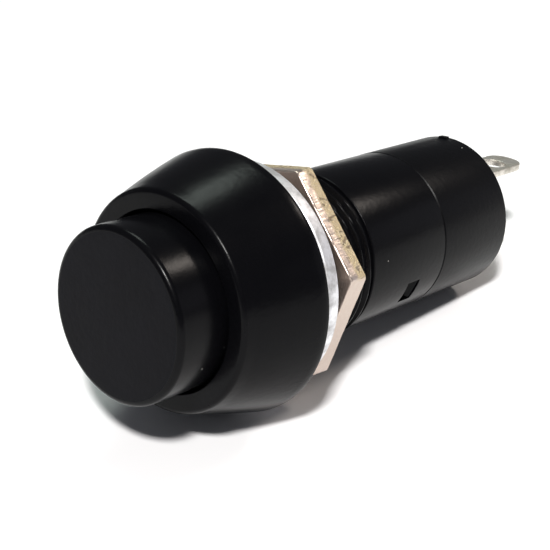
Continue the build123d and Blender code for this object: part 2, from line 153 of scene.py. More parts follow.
class ButtonColours(bpy.types.PropertyGroup):
    """Colours of the finishes."""

    moulding: colour("Moulding", "Black ABS of the bezel and barrel", "#050507")
    moulding_worn: colour("Moulding, handled", "The same where it was handled", "#09090b")
    cap_face: colour("Cap face", "Satin face of the cap", "#0f0f14")
    base: colour("Base", "Black nylon of the rear base", "#060608")
    dust: colour("Dust", "Specks of dust on the plastic", "#b9b6b0")
    washer: colour("Washer", "Zinc-plated steel", "#f0f0f3")
    washer_dull: colour("Washer, dulled", "The same where it has dulled", "#bdbcbd")
    nut_sheared: colour("Nut, sheared", "Nickel over brass on the smooth cut", "#e2cfc2")
    nut_torn: colour("Nut, torn", "Brass colour where the cut tore", "#d9c6a0")
    # Painted shade: the lower flats get this darker nickel as shade, for the side that faces away
    # from the light.
    nut_lower_shaded: colour("Nut, lower flats", "Duller nickel on the lower flats", "#c6b5aa")
    # Painted shade: the dents' dark brown stands for the shade inside them; their hollows are real
    # relief.
    nut_dent_shade: colour("Nut, dents", "Brown of the dents in the torn band", "#8f7a5c")
    nut_face: colour("Nut, face", "Nickel on the nut's faces", "#cfc6bc")
    tin: colour("Tin", "Tinned brass of the lugs", "#e6e1d9")
    tin_dark: colour("Tin, tarnished", "The same where it has tarnished", "#a9a498")
    steel_wire: colour("Spring wire", "Drawn steel wire", "#b4b4b6")
    brass: colour("Brass", "Brass strip of the contact bridge", "#c9a765")
    silver: colour("Silver", "Silver alloy of the contact rivets", "#dcdad4")
    acetal: colour("Acetal", "Natural acetal of the plunger", "#dcd9cc")
    floor: colour("Floor", "The pale surface the button lies on", "#fbfbfc")


def sizes():
    return bpy.context.scene.button_sizes


def colours():
    return bpy.context.scene.button_colours


# ---- outlines ---------------------------------------------------------------------------------

def rounded(corners, closed=True, steps=6):
    """Points (radius, y) of an outline whose corners (radius, y, rounding) are turned into arcs."""
    points = []
    count = len(corners)
    for i, (radius, y, rounding) in enumerate(corners):
        here = Vector((radius, y))
        if rounding == 0 or (not closed and i in (0, count - 1)):
            points.append((radius, y))
            continue
        before = Vector(corners[i - 1][:2]) - here
        after = Vector(corners[(i + 1) % count][:2]) - here
        half = before.angle(after) / 2
        reach = rounding / math.tan(half)
        bisector = (before.normalized() + after.normalized()).normalized()
        centre = here + bisector * (rounding / math.sin(half))
        start = here + before.normalized() * reach - centre
        end = here + after.normalized() * reach - centre
        for step in range(steps + 1):
            spot = centre + start.slerp(end, step / steps).normalized() * rounding
            points.append((spot.x, spot.y))
    return points


def even_angles(count):
    """Angles about the axis, evenly spaced."""
    return [FULL_TURN * i / count for i in range(count)]


def steps_between(start, end, step):
    """Values from start to end, no further apart than step, both ends included."""
    count = max(1, math.ceil(abs(end - start) / step))
    return [start + (end - start) * i / count for i in range(count + 1)]


# ---- meshes -----------------------------------------------------------------------------------

def new_piece(name, mesh):
    """An object for a finished mesh, with smooth faces and sharp edges marked by angle."""
    mesh.set_sharp_from_angle(angle=math.radians(32))
    piece = bpy.data.objects.new(name, mesh)
    bpy.context.scene.collection.objects.link(piece)
    return piece


def place_on(piece, body, *nodes):
    """The piece rides on a body and stands for those nodes of the frame."""
    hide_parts(*nodes)
    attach(piece, body)
    return piece


def turned_mesh(name, rows, angles, closed=True):
    """A mesh about the Y axis.  Each row is a function from angle to (radius, y)."""
    body = bmesh.new()
    grid = []
    for row in rows:
        ring = []
        for angle in angles:
            radius, y = row(angle)
            ring.append(body.verts.new((radius * math.cos(angle), y, radius * math.sin(angle))))
        grid.append(ring)
    pairs = list(zip(grid, grid[1:]))
    if closed:
        pairs.append((grid[-1], grid[0]))
    columns = len(angles)
    for low, high in pairs:
        for i in range(columns):
            j = (i + 1) % columns
            body.faces.new((low[i], low[j], high[j], high[i]))
    bmesh.ops.remove_doubles(body, verts=body.verts, dist=1e-8)
    bmesh.ops.recalc_face_normals(body, faces=body.faces)
    return mesh_from(name, body)


def mesh_from(name, body):
    """A smooth-shaded mesh from a bmesh, which is freed."""
    for face in body.faces:
        face.smooth = True
    mesh = bpy.data.meshes.new(name)
    body.to_mesh(mesh)
    body.free()
    return mesh


def plain_rows(points):
    """Rows for turned_mesh that are the same all the way round."""
    return [lambda angle, point=point: point for point in points]


def box_mesh(name, low, high, bevel=0.0):
    """A box between two corners, with bevelled edges."""
    body = bmesh.new()
    bmesh.ops.create_cube(body, size=1.0)
    low, high = Vector(low), Vector(high)
    for vertex in body.verts:
        for axis in range(3):
            vertex.co[axis] = low[axis] if vertex.co[axis] < 0 else high[axis]
    if bevel:
        bmesh.ops.bevel(
            body, geom=body.edges[:], offset=bevel, segments=3, profile=0.5, affect="EDGES",
        )
    return mesh_from(name, body)


def about_axis(mesh, angle):
    """Turns a mesh about the Y axis, from +X towards +Z."""
    mesh.transform(Matrix.Rotation(-angle, 4, "Y"))
    return mesh


def boolean(mesh, other, operation):
    """A new mesh: the first one with the other cut from it or joined to it."""
    first = bpy.data.objects.new("first", mesh)
    second = bpy.data.objects.new("second", other)
    for piece in (first, second):
        bpy.context.scene.collection.objects.link(piece)
    modifier = first.modifiers.new("boolean", "BOOLEAN")
    modifier.operation = operation
    modifier.solver = "EXACT"
    modifier.object = second
    bpy.context.view_layer.update()
    made = bpy.data.meshes.new_from_object(
        first.evaluated_get(bpy.context.evaluated_depsgraph_get())
    )
    made.name = mesh.name
    for piece in (first, second):
        bpy.data.objects.remove(piece)
    return made


def joined(name, meshes):
    """One mesh from several."""
    body = bmesh.new()
    for mesh in meshes:
        body.from_mesh(mesh)
    return mesh_from(name, body)


def curve_mesh(curve):
    """The mesh of a curve with its bevel."""
    holder = bpy.data.objects.new(curve.name, curve)
    bpy.context.scene.collection.objects.link(holder)
    bpy.context.view_layer.update()
    mesh = bpy.data.meshes.new_from_object(
        holder.evaluated_get(bpy.context.evaluated_depsgraph_get())
    )
    bpy.data.objects.remove(holder)
    return mesh


def plate_mesh(name, outline, holes, thickness, bevel):
    """A flat stamped plate in the XY plane, centred on Z = 0, from closed loops of points."""
    curve = bpy.data.curves.new(name, "CURVE")
    curve.dimensions = "2D"
    curve.fill_mode = "BOTH"
    curve.extrude = thickness / 2 - bevel
    curve.bevel_depth = bevel
    curve.bevel_resolution = 2
    curve.offset = -bevel
    for loop in [outline] + holes:
        spline = curve.splines.new("POLY")
        spline.points.add(len(loop) - 1)
        for point, (x, y) in zip(spline.points, loop):
            point.co = (x, y, 0, 1)
        spline.use_cyclic_u = True
    body = bmesh.new()
    body.from_mesh(curve_mesh(curve))
    bmesh.ops.remove_doubles(body, verts=body.verts, dist=1e-7)
    bmesh.ops.recalc_face_normals(body, faces=body.faces)
    return mesh_from(name, body)


def circle(x, y, radius, count=48):
    """A closed loop of points round a circle."""
    return [
        (x + radius * math.cos(angle), y + radius * math.sin(angle)) for angle in even_angles(count)
    ]


# ---- the thread ---------------------------------------------------------------------------------

def off_ridge(y, angle):
    """Distance along the axis from the middle of the nearest ridge of the right-hand thread,
    and how many turns that ridge's middle is from the thread's beginning."""
    size = sizes()
    pitch = size.thread_pitch
    first = size.spigot_end + pitch
    turns = (y - first) / pitch + (angle - math.pi / 2) / FULL_TURN
    nearest = round(turns)
    middle_turns = nearest - (angle - math.pi / 2) / FULL_TURN
    return abs(turns - nearest) * pitch, middle_turns


def bushing_radius(y, angle):
    """Radius of the bushing's thread: 60 degree ridges with a narrow flat crest that fade in and
    out at both ends."""
    size = sizes()
    distance, turns = off_ridge(y, angle)
    last = (size.thread_end - 1.5 * size.thread_pitch - size.spigot_end) / size.thread_pitch
    fade = min(1.0, max(0.0, turns * 8), max(0.0, (last - turns) * 8))
    crest_half = size.thread_pitch / 16
    height = size.thread_crest - size.thread_root
    ridge = height - max(0.0, distance - crest_half) / math.tan(FLANK)
    return size.thread_root + fade * min(height, max(0.0, ridge))


def nut_bore_radius(y, angle):
    """Radius of the nut's thread, a groove on the same helix."""
    size = sizes()
    distance, _ = off_ridge(y, angle)
    root_half = 0.069 * MM
    groove = size.nut_groove - max(0.0, distance - root_half) / math.tan(FLANK)
    return max(size.nut_bore, groove)


# ---- materials ----------------------------------------------------------------------------------

def add(tree, kind, values=None, links=None, **settings):
    """One node: settings are its own properties, values its unlinked inputs and links its inputs
    that come from other nodes' outputs."""
    node = tree.nodes.new(kind)
    for name, value in settings.items():
        setattr(node, name, value)
    for name, value in (values or {}).items():
        node.inputs[name].default_value = value
    for name, source in (links or {}).items():
        tree.links.new(source, node.inputs[name])
    return node


def new_material(name):
    """An empty material with its shader, and coordinates in millimetres in the frame."""
    material = bpy.data.materials.new(name)
    material.use_nodes = True
    tree = material.node_tree
    tree.nodes.clear()
    shader = add(tree, "ShaderNodeBsdfPrincipled")
    add(tree, "ShaderNodeOutputMaterial", links={"Surface": shader.outputs["BSDF"]})
    place = add(tree, "ShaderNodeTexCoord")
    scale = add(
        tree, "ShaderNodeVectorMath", {"Scale": 1 / MM}, {0: place.outputs["Object"]},
        operation="SCALE",
    )
    return material, tree, shader, scale.outputs["Vector"]


def noise(tree, where, grain, detail=3.0, roughness=0.55):
    """Noise whose features are about grain millimetres wide."""
    node = add(
        tree, "ShaderNodeTexNoise",
        {"Scale": 1 / grain, "Detail": detail, "Roughness": roughness}, {"Vector": where},
    )
    return node.outputs["Fac"]


def ramp(tree, source, stops):
    """A ramp of grey levels: stops are (position, level)."""
    node = add(tree, "ShaderNodeValToRGB", links={"Fac": source})
    elements = node.color_ramp.elements
    while len(elements) < len(stops):
        elements.new(0.5)
    for element, (position, level) in zip(elements, stops):
        element.position = position
        element.color = (level, level, level, 1)
    return node.outputs["Color"]


def blend(tree, amount, first, second):
    """A mix of two colours, each a linear triple or another node's output."""
    node = add(tree, "ShaderNodeMix", data_type="RGBA")
    tree.links.new(amount, node.inputs["Factor"])
    for name, value in (("A", first), ("B", second)):
        socket = [s for s in node.inputs if s.name == name and s.type == "RGBA"][0]
        if isinstance(value, bpy.types.NodeSocket):
            tree.links.new(value, socket)
        else:
            socket.default_value = (*value, 1)
    return [s for s in node.outputs if s.type == "RGBA"][0]


def between(tree, source, low, high):
    """Maps 0..1 to low..high."""
    node = add(
        tree, "ShaderNodeMapRange", {"To Min": low, "To Max": high}, {"Value": source}
    )
    return node.outputs["Result"]


def rise(tree, source, start, end):
    """0 below start, 1 above end and a straight line between them."""
    node = add(
        tree, "ShaderNodeMapRange", {"From Min": start, "From Max": end}, {"Value": source}
    )
    return node.outputs["Result"]


def product(tree, first, second):
    """Two values multiplied."""
    node = add(tree, "ShaderNodeMath", links={0: first, 1: second}, operation="MULTIPLY")
    return node.outputs["Value"]


def bump(tree, height, depth, strength=1.0, after=None):
    """Surface relief of that depth in millimetres."""
    links = {"Height": height}
    if after is not None:
        links["Normal"] = after
    node = add(tree, "ShaderNodeBump", {"Distance": depth * MM, "Strength": strength}, links)
    return node.outputs["Normal"]


def stretched(tree, where, factors, turn=(0, 0, 0)):
    """The same coordinates, scaled differently along X, Y and Z."""
    node = add(
        tree, "ShaderNodeMapping", {"Scale": factors, "Rotation": turn}, {"Vector": where}
    )
    return node.outputs["Vector"]


def dust_specks(tree, where, spacing, size, share):
    """1 on small specks: one in each cell of that spacing, kept in that share of the cells."""
    cells = add(
        tree, "ShaderNodeTexVoronoi", {"Scale": 1 / spacing}, {"Vector": where},
        feature="F1",
    )
    near = add(
        tree, "ShaderNodeMapRange",
        {"From Min": size / spacing, "From Max": 0.6 * size / spacing, "To Min": 0, "To Max": 1},
        {"Value": cells.outputs["Distance"]},
    )
    chosen = add(tree, "ShaderNodeSeparateColor", links={"Color": cells.outputs["Color"]})
    kept = add(
        tree, "ShaderNodeMath", {1: 1 - share}, {0: chosen.outputs["Red"]},
        operation="GREATER_THAN",
    )
    return product(tree, near.outputs["Result"], kept.outputs["Value"])


def black_plastic(name, plain, handled, gloss, gloss_spread, peel_depth, shine):
    """Injection-moulded black plastic.

    The polished mould gives an even gloss, broken by a faint orange peel, by streaks where
    fingers have rubbed it and by a few specks of dust."""
    material, tree, shader, where = new_material(name)
    shader.inputs["IOR"].default_value = 1.50
    shader.inputs["Specular IOR Level"].default_value = shine
    cloudy = noise(tree, where, 3.2)
    streaks = noise(tree, stretched(tree, where, (1.0, 0.25, 1.0)), 0.9, detail=5.0)
    peel = noise(tree, where, 0.45, detail=2.0)
    grit = noise(tree, where, 0.09, detail=2.0)
    dust = dust_specks(tree, where, 2.1, 0.055, 0.45)
    tone = blend(tree, cloudy, plain, handled)
    tree.links.new(blend(tree, dust, tone, colours().dust), shader.inputs["Base Color"])
    gloss_map = between(tree, streaks, gloss - gloss_spread, gloss + gloss_spread)
    rough = add(
        tree, "ShaderNodeMath", {1: 0.4}, {0: dust, 2: gloss_map}, operation="MULTIPLY_ADD"
    )
    tree.links.new(rough.outputs["Value"], shader.inputs["Roughness"])
    relief = bump(tree, peel, peel_depth)
    relief = bump(tree, grit, 0.0012, after=relief)
    relief = bump(tree, dust, 0.02, strength=0.5, after=relief)
    tree.links.new(relief, shader.inputs["Normal"])
    return material


def zinc_plated_steel():
    """Stamped steel washer with bright zinc plate.

    Its sheen is broken by dull patches and by fine scratches from tumbling in the barrel."""
    material, tree, shader, where = new_material("zinc_plated_steel")
    shader.inputs["Metallic"].default_value = 1.0
    patches = ramp(tree, noise(tree, where, 1.1, detail=6.0), [(0.42, 0.0), (0.62, 1.0)])
    along = stretched(tree, where, (6.0, 1.0, 0.8), (0.3, 0.2, 0.7))
    scratches = noise(tree, along, 0.5, detail=4.0)
    tone = blend(tree, patches, colours().washer, colours().washer_dull)
    tree.links.new(tone, shader.inputs["Base Color"])
    tree.links.new(between(tree, patches, 0.52, 0.64), shader.inputs["Roughness"])
    relief = bump(tree, scratches, 0.006)
    relief = bump(tree, patches, 0.004, after=relief)
    tree.links.new(relief, shader.inputs["Normal"])
    return material


def stamped_nickel_brass():
    """Nickel-plated brass nut, blanked in one stroke.

    The upper flats have a smooth sheared band next to the front face, and behind it a torn band,
    rough and yellower because the thin plate doesn't cover it well. The lower flats are smooth and
    painted a darker nickel as painted shade, for the side that faces away from the light."""
    material, tree, shader, where = new_material("stamped_nickel_brass")
    shader.inputs["Metallic"].default_value = 1.0
    low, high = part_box("mounting_nut")
    parts = add(tree, "ShaderNodeSeparateXYZ", links={"Vector": where})
    ragged = noise(tree, stretched(tree, where, (1.0, 0.3, 1.0)), 0.5, detail=4.0)
    edge = add(
        tree, "ShaderNodeMath", {1: 0.5}, {0: ragged, 2: parts.outputs["Y"]},
        operation="MULTIPLY_ADD",
    )
    middle = (low.y * 0.55 + high.y * 0.45) / MM + 0.25
    torn = rise(tree, edge.outputs["Value"], middle - 0.14, middle + 0.14)
    turn = math.radians(NUT_TURN)
    above_corners = add(
        tree, "ShaderNodeVectorMath", {1: (-math.sin(turn), 0.0, math.cos(turn))}, {0: where},
        operation="DOT_PRODUCT",
    )
    # 1 on the upper, lit half of the nut and 0 on its lower half, whose flats take painted shade.
    upper = rise(tree, above_corners.outputs["Value"], -0.15, 0.15)
    torn = product(tree, torn, upper)
    rim = math.sqrt(3) / 2 * sizes().nut_flats / 2 / MM
    flat = add(
        tree, "ShaderNodeVectorMath", links={0: stretched(tree, where, (1.0, 0.0, 1.0))},
        operation="LENGTH",
    )
    outer = rise(tree, flat.outputs["Value"], rim, rim + 0.5)
    grain = noise(tree, where, 0.16, detail=4.0)
    # Dents in the torn band: real relief from the bump, and painted shade in their colour.
    dents = ramp(
        tree, noise(tree, stretched(tree, where, (1.0, 0.5, 1.0)), 0.34, detail=1.5),
        [(0.56, 0.0), (0.66, 1.0)],
    )
    dents = product(tree, dents, torn)
    drag = noise(tree, stretched(tree, where, (1.0, 0.12, 1.0)), 0.16, detail=3.0)
    # Painted shade: the lower flats take the darker nickel and the upper flats the lit sheared
    # colour.
    smooth = blend(tree, upper, colours().nut_lower_shaded, colours().nut_sheared)
    side = blend(tree, torn, smooth, colours().nut_torn)
    # Painted shade in the dents.
    side = blend(tree, dents, side, colours().nut_dent_shade)
    mottled = blend(
        tree, ramp(tree, grain, [(0.35, 0.0), (0.75, 0.5)]), side, colours().nut_face
    )
    tone = blend(tree, outer, colours().nut_face, mottled)
    tree.links.new(tone, shader.inputs["Base Color"])
    tree.links.new(between(tree, torn, 0.34, 0.55), shader.inputs["Roughness"])
    centred = add(tree, "ShaderNodeMath", {1: 0.5}, {0: grain}, operation="SUBTRACT")
    torn_grain = product(tree, centred.outputs["Value"], torn)
    relief = bump(tree, drag, 0.02)
    relief = bump(tree, torn_grain, 0.10, after=relief)
    relief = bump(tree, dents, -0.05, after=relief)
    tree.links.new(relief, shader.inputs["Normal"])
    return material


def tinned_brass():
    """Tin-plated brass strip: soft dull sheen with grey tarnish and drawn lines along it."""
    material, tree, shader, where = new_material("tinned_brass")
    shader.inputs["Metallic"].default_value = 1.0
    tarnish = ramp(tree, noise(tree, where, 1.0, detail=5.0), [(0.40, 0.0), (0.70, 1.0)])
    lines = noise(tree, stretched(tree, where, (1.0, 0.06, 1.0)), 0.12, detail=3.0)
    tone = blend(tree, tarnish, colours().tin, colours().tin_dark)
    tree.links.new(tone, shader.inputs["Base Color"])
    tree.links.new(between(tree, tarnish, 0.44, 0.60), shader.inputs["Roughness"])
    tree.links.new(bump(tree, lines, 0.006), shader.inputs["Normal"])
    return material


def worked_metal(name, tone, roughness, grain, stretch):
    """A bare metal with the fine lines of how it was drawn, rolled or pressed."""
    material, tree, shader, where = new_material(name)
    shader.inputs["Metallic"].default_value = 1.0
    lines = noise(tree, stretched(tree, where, stretch), grain, detail=4.0)
    dull = tuple(0.72 * value for value in tone)
    tree.links.new(blend(tree, lines, tone, dull), shader.inputs["Base Color"])
    rough = between(tree, lines, roughness - 0.06, roughness + 0.1)
    tree.links.new(rough, shader.inputs["Roughness"])
    tree.links.new(bump(tree, lines, 0.004), shader.inputs["Normal"])
    return material


def natural_acetal():
    """Moulded acetal: waxy and slightly see-through, with a faint flow pattern."""
    material, tree, shader, where = new_material("natural_acetal")
    shader.inputs["IOR"].default_value = 1.48
    shader.inputs["Subsurface Weight"].default_value = 0.2
    shader.inputs["Subsurface Radius"].default_value = (0.8 * MM, 0.7 * MM, 0.5 * MM)
    flow = noise(tree, stretched(tree, where, (1.0, 0.3, 1.0)), 1.2)
    tone = colours().acetal
    tree.links.new(
        blend(tree, flow, tone, tuple(0.86 * value for value in tone)), shader.inputs["Base Color"]
    )
    tree.links.new(between(tree, flow, 0.36, 0.48), shader.inputs["Roughness"])
    tree.links.new(bump(tree, flow, 0.01), shader.inputs["Normal"])
    return material


def pale_floor():
    """A smooth painted board, almost white."""
    material, tree, shader, where = new_material("painted_board")
    shader.inputs["Roughness"].default_value = 0.55
    faint = noise(tree, where, 40.0)
    tone = colours().floor
    tree.links.new(
        blend(tree, faint, tone, tuple(0.97 * value for value in tone)), shader.inputs["Base Color"]
    )
    return material


# ---- pieces -------------------------------------------------------------------------------------

class BUTTON_OT_housing(bpy.types.Operator):
    """Add the front housing: bezel, threaded bushing and barrel"""

    bl_idname = "push_button.housing"
    bl_label = "Front housing"

    def execute(self, context):
        size = sizes()
        low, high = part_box("front_housing")
        front, rear, rim = low.y, high.y, high.x
        floor = front + size.pocket_floor
        web_rear = floor + size.web_thickness
        seat_outer = rim - 1.3 * size.rim_edge_round
        seat_inner = seat_outer - size.seat_width
        neck_end = size.spigot_end + size.spigot_radius - size.thread_root
        points = rounded([
            (size.pocket_radius, front, 0.12 * MM),
            (size.bezel_front_radius + 0.5 * size.bezel_edge_round, front, size.bezel_edge_round),
            *[(*point, 0) for point in self.flare(front, rim)],
            (rim, 0, size.rim_edge_round),
            (seat_inner, 0, 0.05 * MM),
            (seat_inner, -size.seat_recess, 0),
            (size.spigot_radius, -size.seat_recess, 0.08 * MM),
            (size.spigot_radius, size.spigot_end, 0.05 * MM),
            (size.thread_root, neck_end, 0),
        ])
        thread = steps_between(neck_end, size.thread_end, size.thread_pitch / 24)[1:-1]
        behind = rounded([
            (size.thread_root, size.thread_end, 0),
            (size.barrel_radius, size.thread_end, size.barrel_edge),
            (size.barrel_radius, rear - size.parting_groove, 0.02 * MM),
            (size.barrel_radius - size.parting_groove, rear, 0),
            (size.socket_radius, rear, 0.05 * MM),
            (size.socket_radius, rear - size.socket_depth, 0),
            (size.chamber_radius, rear - size.socket_depth, 0),
            (size.chamber_radius, web_rear, 0),
            (size.guide_radius, web_rear, 0.1 * MM),
            (size.guide_radius, floor, 0.1 * MM),
            (size.pocket_radius, floor, 0),
        ])
        rows = plain_rows(points)
        rows += [lambda angle, y=y: (bushing_radius(y, angle), y) for y in thread]
        rows += plain_rows(behind)
        mesh = turned_mesh("housing_moulding", rows, even_angles(ROUND_COLUMNS))
        for turn in SNAP_TURNS:
            window = box_mesh(
                "window", (size.socket_radius - 0.6 * MM, WINDOW_FRONT, -WINDOW_HALF),
                (size.barrel_radius + 1 * MM, WINDOW_REAR, WINDOW_HALF),
            )
            mesh = boolean(mesh, about_axis(window, math.radians(turn)), "DIFFERENCE")
        mesh.materials.clear()
        mesh.materials.append(black_plastic(
            "moulded_abs_gloss", colours().moulding, colours().moulding_worn,
            gloss=0.25, gloss_spread=0.06, peel_depth=0.010, shine=0.085,
        ))
        place_on(new_piece("housing_moulding", mesh), "housing", "front_housing")
        return {"FINISHED"}

    def flare(self, front, rim):
        """Points along the bezel's side, a cone that bulges a little."""
        size = sizes()
        edge = size.bezel_edge_round
        start = Vector((size.bezel_front_radius + 0.62 * edge, front + edge))
        end = Vector((rim, -size.rim_land))
        points = []
        for step in range(1, 15):
            share = step / 15
            spot = start.lerp(end, share)
            points.append((spot.x + 4 * size.bezel_bulge * share * (1 - share), spot.y))
        return points + [(end.x, end.y)]


class BUTTON_OT_cap(bpy.types.Operator):
    """Add the button's cap"""

    bl_idname = "push_button.cap"
    bl_label = "Button cap"

    def execute(self, context):
        size = sizes()
        low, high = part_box("button_cap")
        front, rear, radius = low.y, high.y, high.x
        under = front + size.cap_top
        boss_end = under + size.boss_length
        points = rounded([
            (0, front, 0),
            (radius - 2 * size.cap_edge_round, front, 0),
            (radius, front, size.cap_edge_round),
            (radius, rear, 0.1 * MM),
            (radius - size.cap_wall, rear, 0.1 * MM),
            (radius - size.cap_wall, under, 0.2 * MM),
            (size.boss_radius, under, 0.2 * MM),
            (size.boss_radius, boss_end, 0.1 * MM),
            (size.boss_socket, boss_end, 0.1 * MM),
            (size.boss_socket, under, 0),
            (0, under, 0),
        ], closed=False, steps=10)
        mesh = turned_mesh(
            "cap_moulding", plain_rows(points), even_angles(ROUND_COLUMNS), closed=False
        )
        mesh.materials.append(black_plastic(
            "moulded_abs_polished", colours().moulding, colours().moulding_worn,
            gloss=0.24, gloss_spread=0.05, peel_depth=0.008, shine=0.09,
        ))
        mesh.materials.append(black_plastic(
            "moulded_abs_satin", colours().cap_face, colours().moulding_worn,
            gloss=0.46, gloss_spread=0.05, peel_depth=0.016, shine=0.06,
        ))
        inside = radius - 1.05 * size.cap_edge_round
        for face in mesh.polygons:
            middle = face.center
            if middle.y < front + 0.02 * MM and math.hypot(middle.x, middle.z) < inside:
                face.material_index = 1
        place_on(new_piece("cap_moulding", mesh), "button", "button_cap")
        return {"FINISHED"}


class BUTTON_OT_base(bpy.types.Operator):
    """Add the rear base that closes the barrel and holds the lugs"""

    bl_idname = "push_button.base"
    bl_label = "Rear base"

    def execute(self, context):
        size = sizes()
        low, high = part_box("rear_base")
        sleeve_front, rear, radius = low.y, high.y, -low.x
        barrel_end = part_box("front_housing")[1].y
        cavity_floor = rear - size.base_floor
        cavity = size.sleeve_radius - size.sleeve_wall
        points = rounded([
            (0, cavity_floor, 0),
            (cavity, cavity_floor, 0),
            (cavity, sleeve_front, 0.1 * MM),
            (size.sleeve_radius, sleeve_front, 0.1 * MM),
            (size.sleeve_radius, barrel_end, 0),
            (radius - size.parting_groove, barrel_end, 0),
            (radius, barrel_end + size.parting_groove, 0.02 * MM),
            (radius, rear, size.base_edge_round),
            (0, rear, 0),
        ], closed=False)
        mesh = turned_mesh(
            "base_moulding", plain_rows(points), even_angles(ROUND_COLUMNS), closed=False
        )
        key = box_mesh(
            "key", (radius - 0.3 * MM, rear - 0.8 * MM, -0.35 * MM),
            (radius + 0.12 * MM, rear - 0.3 * MM, 0.35 * MM), 0.05 * MM,
        )
        mesh = boolean(mesh, about_axis(key, math.radians(96)), "UNION")
        for turn in SNAP_TURNS:
            tab = self.snap_tab()
            mesh = boolean(mesh, about_axis(tab, math.radians(turn)), "UNION")
        for node in ("terminal_upper", "terminal_lower"):
            mesh = boolean(mesh, self.slot(node), "DIFFERENCE")
        mesh.materials.clear()
        mesh.materials.append(black_plastic(
            "moulded_nylon_satin", colours().base, colours().moulding_worn,
            gloss=0.33, gloss_spread=0.06, peel_depth=0.012, shine=0.08,
        ))
        place_on(new_piece("base_moulding", mesh), "housing", "rear_base")
        return {"FINISHED"}

    def slot(self, node):
        """The hole that a lug's strip passes through, a hair wider than the strip."""
        size = sizes()
        low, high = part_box(node)
        gap = 0.03 * MM
        side = math.copysign(1, low.z + high.z)
        inner = side * (min(abs(low.z), abs(high.z)) - gap)
        outer = inner + side * (size.lug_thickness + 2 * gap)
        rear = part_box("rear_base")[1].y
        return box_mesh(
            "slot", (low.x - gap, rear - size.base_floor - MM, min(inner, outer)),
            (high.x + gap, rear + MM, max(inner, outer)),
        )

    def snap_tab(self):
        """The wedge that catches in a window of the barrel."""
        size = sizes()
        inner = size.sleeve_radius - 0.5 * size.sleeve_wall
        outer = size.sleeve_radius + TAB_HEIGHT
        front, half = WINDOW_FRONT + TAB_GAP, WINDOW_HALF - TAB_GAP
        tab = box_mesh("tab", (inner, front, -half), (outer, WINDOW_REAR - TAB_GAP, half))
        for vertex in tab.vertices:
            if vertex.co.y < front + 0.5 * TAB_GAP and vertex.co.x > size.sleeve_radius:
                vertex.co.x = size.sleeve_radius + 0.02 * MM
        return tab


class BUTTON_OT_washer(bpy.types.Operator):
    """Add the plain washer"""

    bl_idname = "push_button.washer"
    bl_label = "Washer"

    def execute(self, context):
        size = sizes()
        low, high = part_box("mounting_washer")
        points = rounded([
            (size.washer_hole, low.y, 0.06 * MM),
            (high.x, low.y, 0.22 * MM),
            (high.x, high.y, 0.10 * MM),
            (size.washer_hole, high.y, 0.06 * MM),
        ])
        mesh = turned_mesh("washer_disc", plain_rows(points), even_angles(ROUND_COLUMNS))
        mesh.materials.append(zinc_plated_steel())
        place_on(new_piece("washer_disc", mesh), "washer", "mounting_washer")
        return {"FINISHED"}


class BUTTON_OT_nut(bpy.types.Operator):
    """Add the stamped hexagon nut"""

    bl_idname = "push_button.nut"
    bl_label = "Hexagon nut"

    def execute(self, context):
        size = sizes()
        low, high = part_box("mounting_nut")
        front, rear = low.y, high.y
        roll = 0.12 * MM
        draft = 0.05 * MM
        rows = []
        for y in steps_between(front, rear, size.thread_pitch / 24):
            rows.append(lambda angle, y=y: (nut_bore_radius(y, angle), y))
        rows.append(lambda angle: (size.nut_groove + 0.08 * MM, rear))
        for inset, y in ((0.3, rear), (0.05, rear), (0.0, rear - 0.05 * MM)):
            rows.append(self.outline(inset * MM, y))
        for y in steps_between(rear - 0.12 * MM, front + roll, 0.14 * MM):
            share = (rear - y) / (rear - front)
            rows.append(self.outline(draft * share, y))
        for step in range(1, 7):
            angle = math.pi / 2 * step / 6
            inset = draft + roll * (1 - math.cos(angle))
            rows.append(self.outline(inset, front + roll * (1 - math.sin(angle))))
        rows.append(lambda angle: (size.nut_groove + 0.08 * MM, front))
        mesh = turned_mesh("nut_blank", rows, self.angles())
        mesh.materials.append(stamped_nickel_brass())
        place_on(new_piece("nut_blank", mesh), "nut", "mounting_nut")
        return {"FINISHED"}

    def angles(self):
        """Angles that fall on the hexagon's corners and are closer together beside them."""
        spread = []
        for corner in range(6):
            start = math.radians(NUT_TURN + 60 * corner)
            for offset in (-4, -2.5, -1.2, 0, 1.2, 2.5, 4, *range(6, 56, 2)):
                spread.append(start + math.radians(offset))
        return sorted(angle % FULL_TURN for angle in spread)

    def outline(self, inset, y):
        """One row round the hexagon, inset from its flats, with worn corners and a slight ripple
        that the punch left."""
        flats = sizes().nut_flats / 2

        def row(angle):
            across = (angle - math.radians(NUT_TURN)) % (math.pi / 3) - math.pi / 6
            ripple = 0.012 * MM * math.sin(23 * angle + 900 * y / MM) * math.sin(41 * angle)
            radius = (flats - inset + ripple) / math.cos(across)
            corner = flats / math.cos(math.pi / 6) - 0.07 * MM - inset
            return min(radius, corner), y

        return row


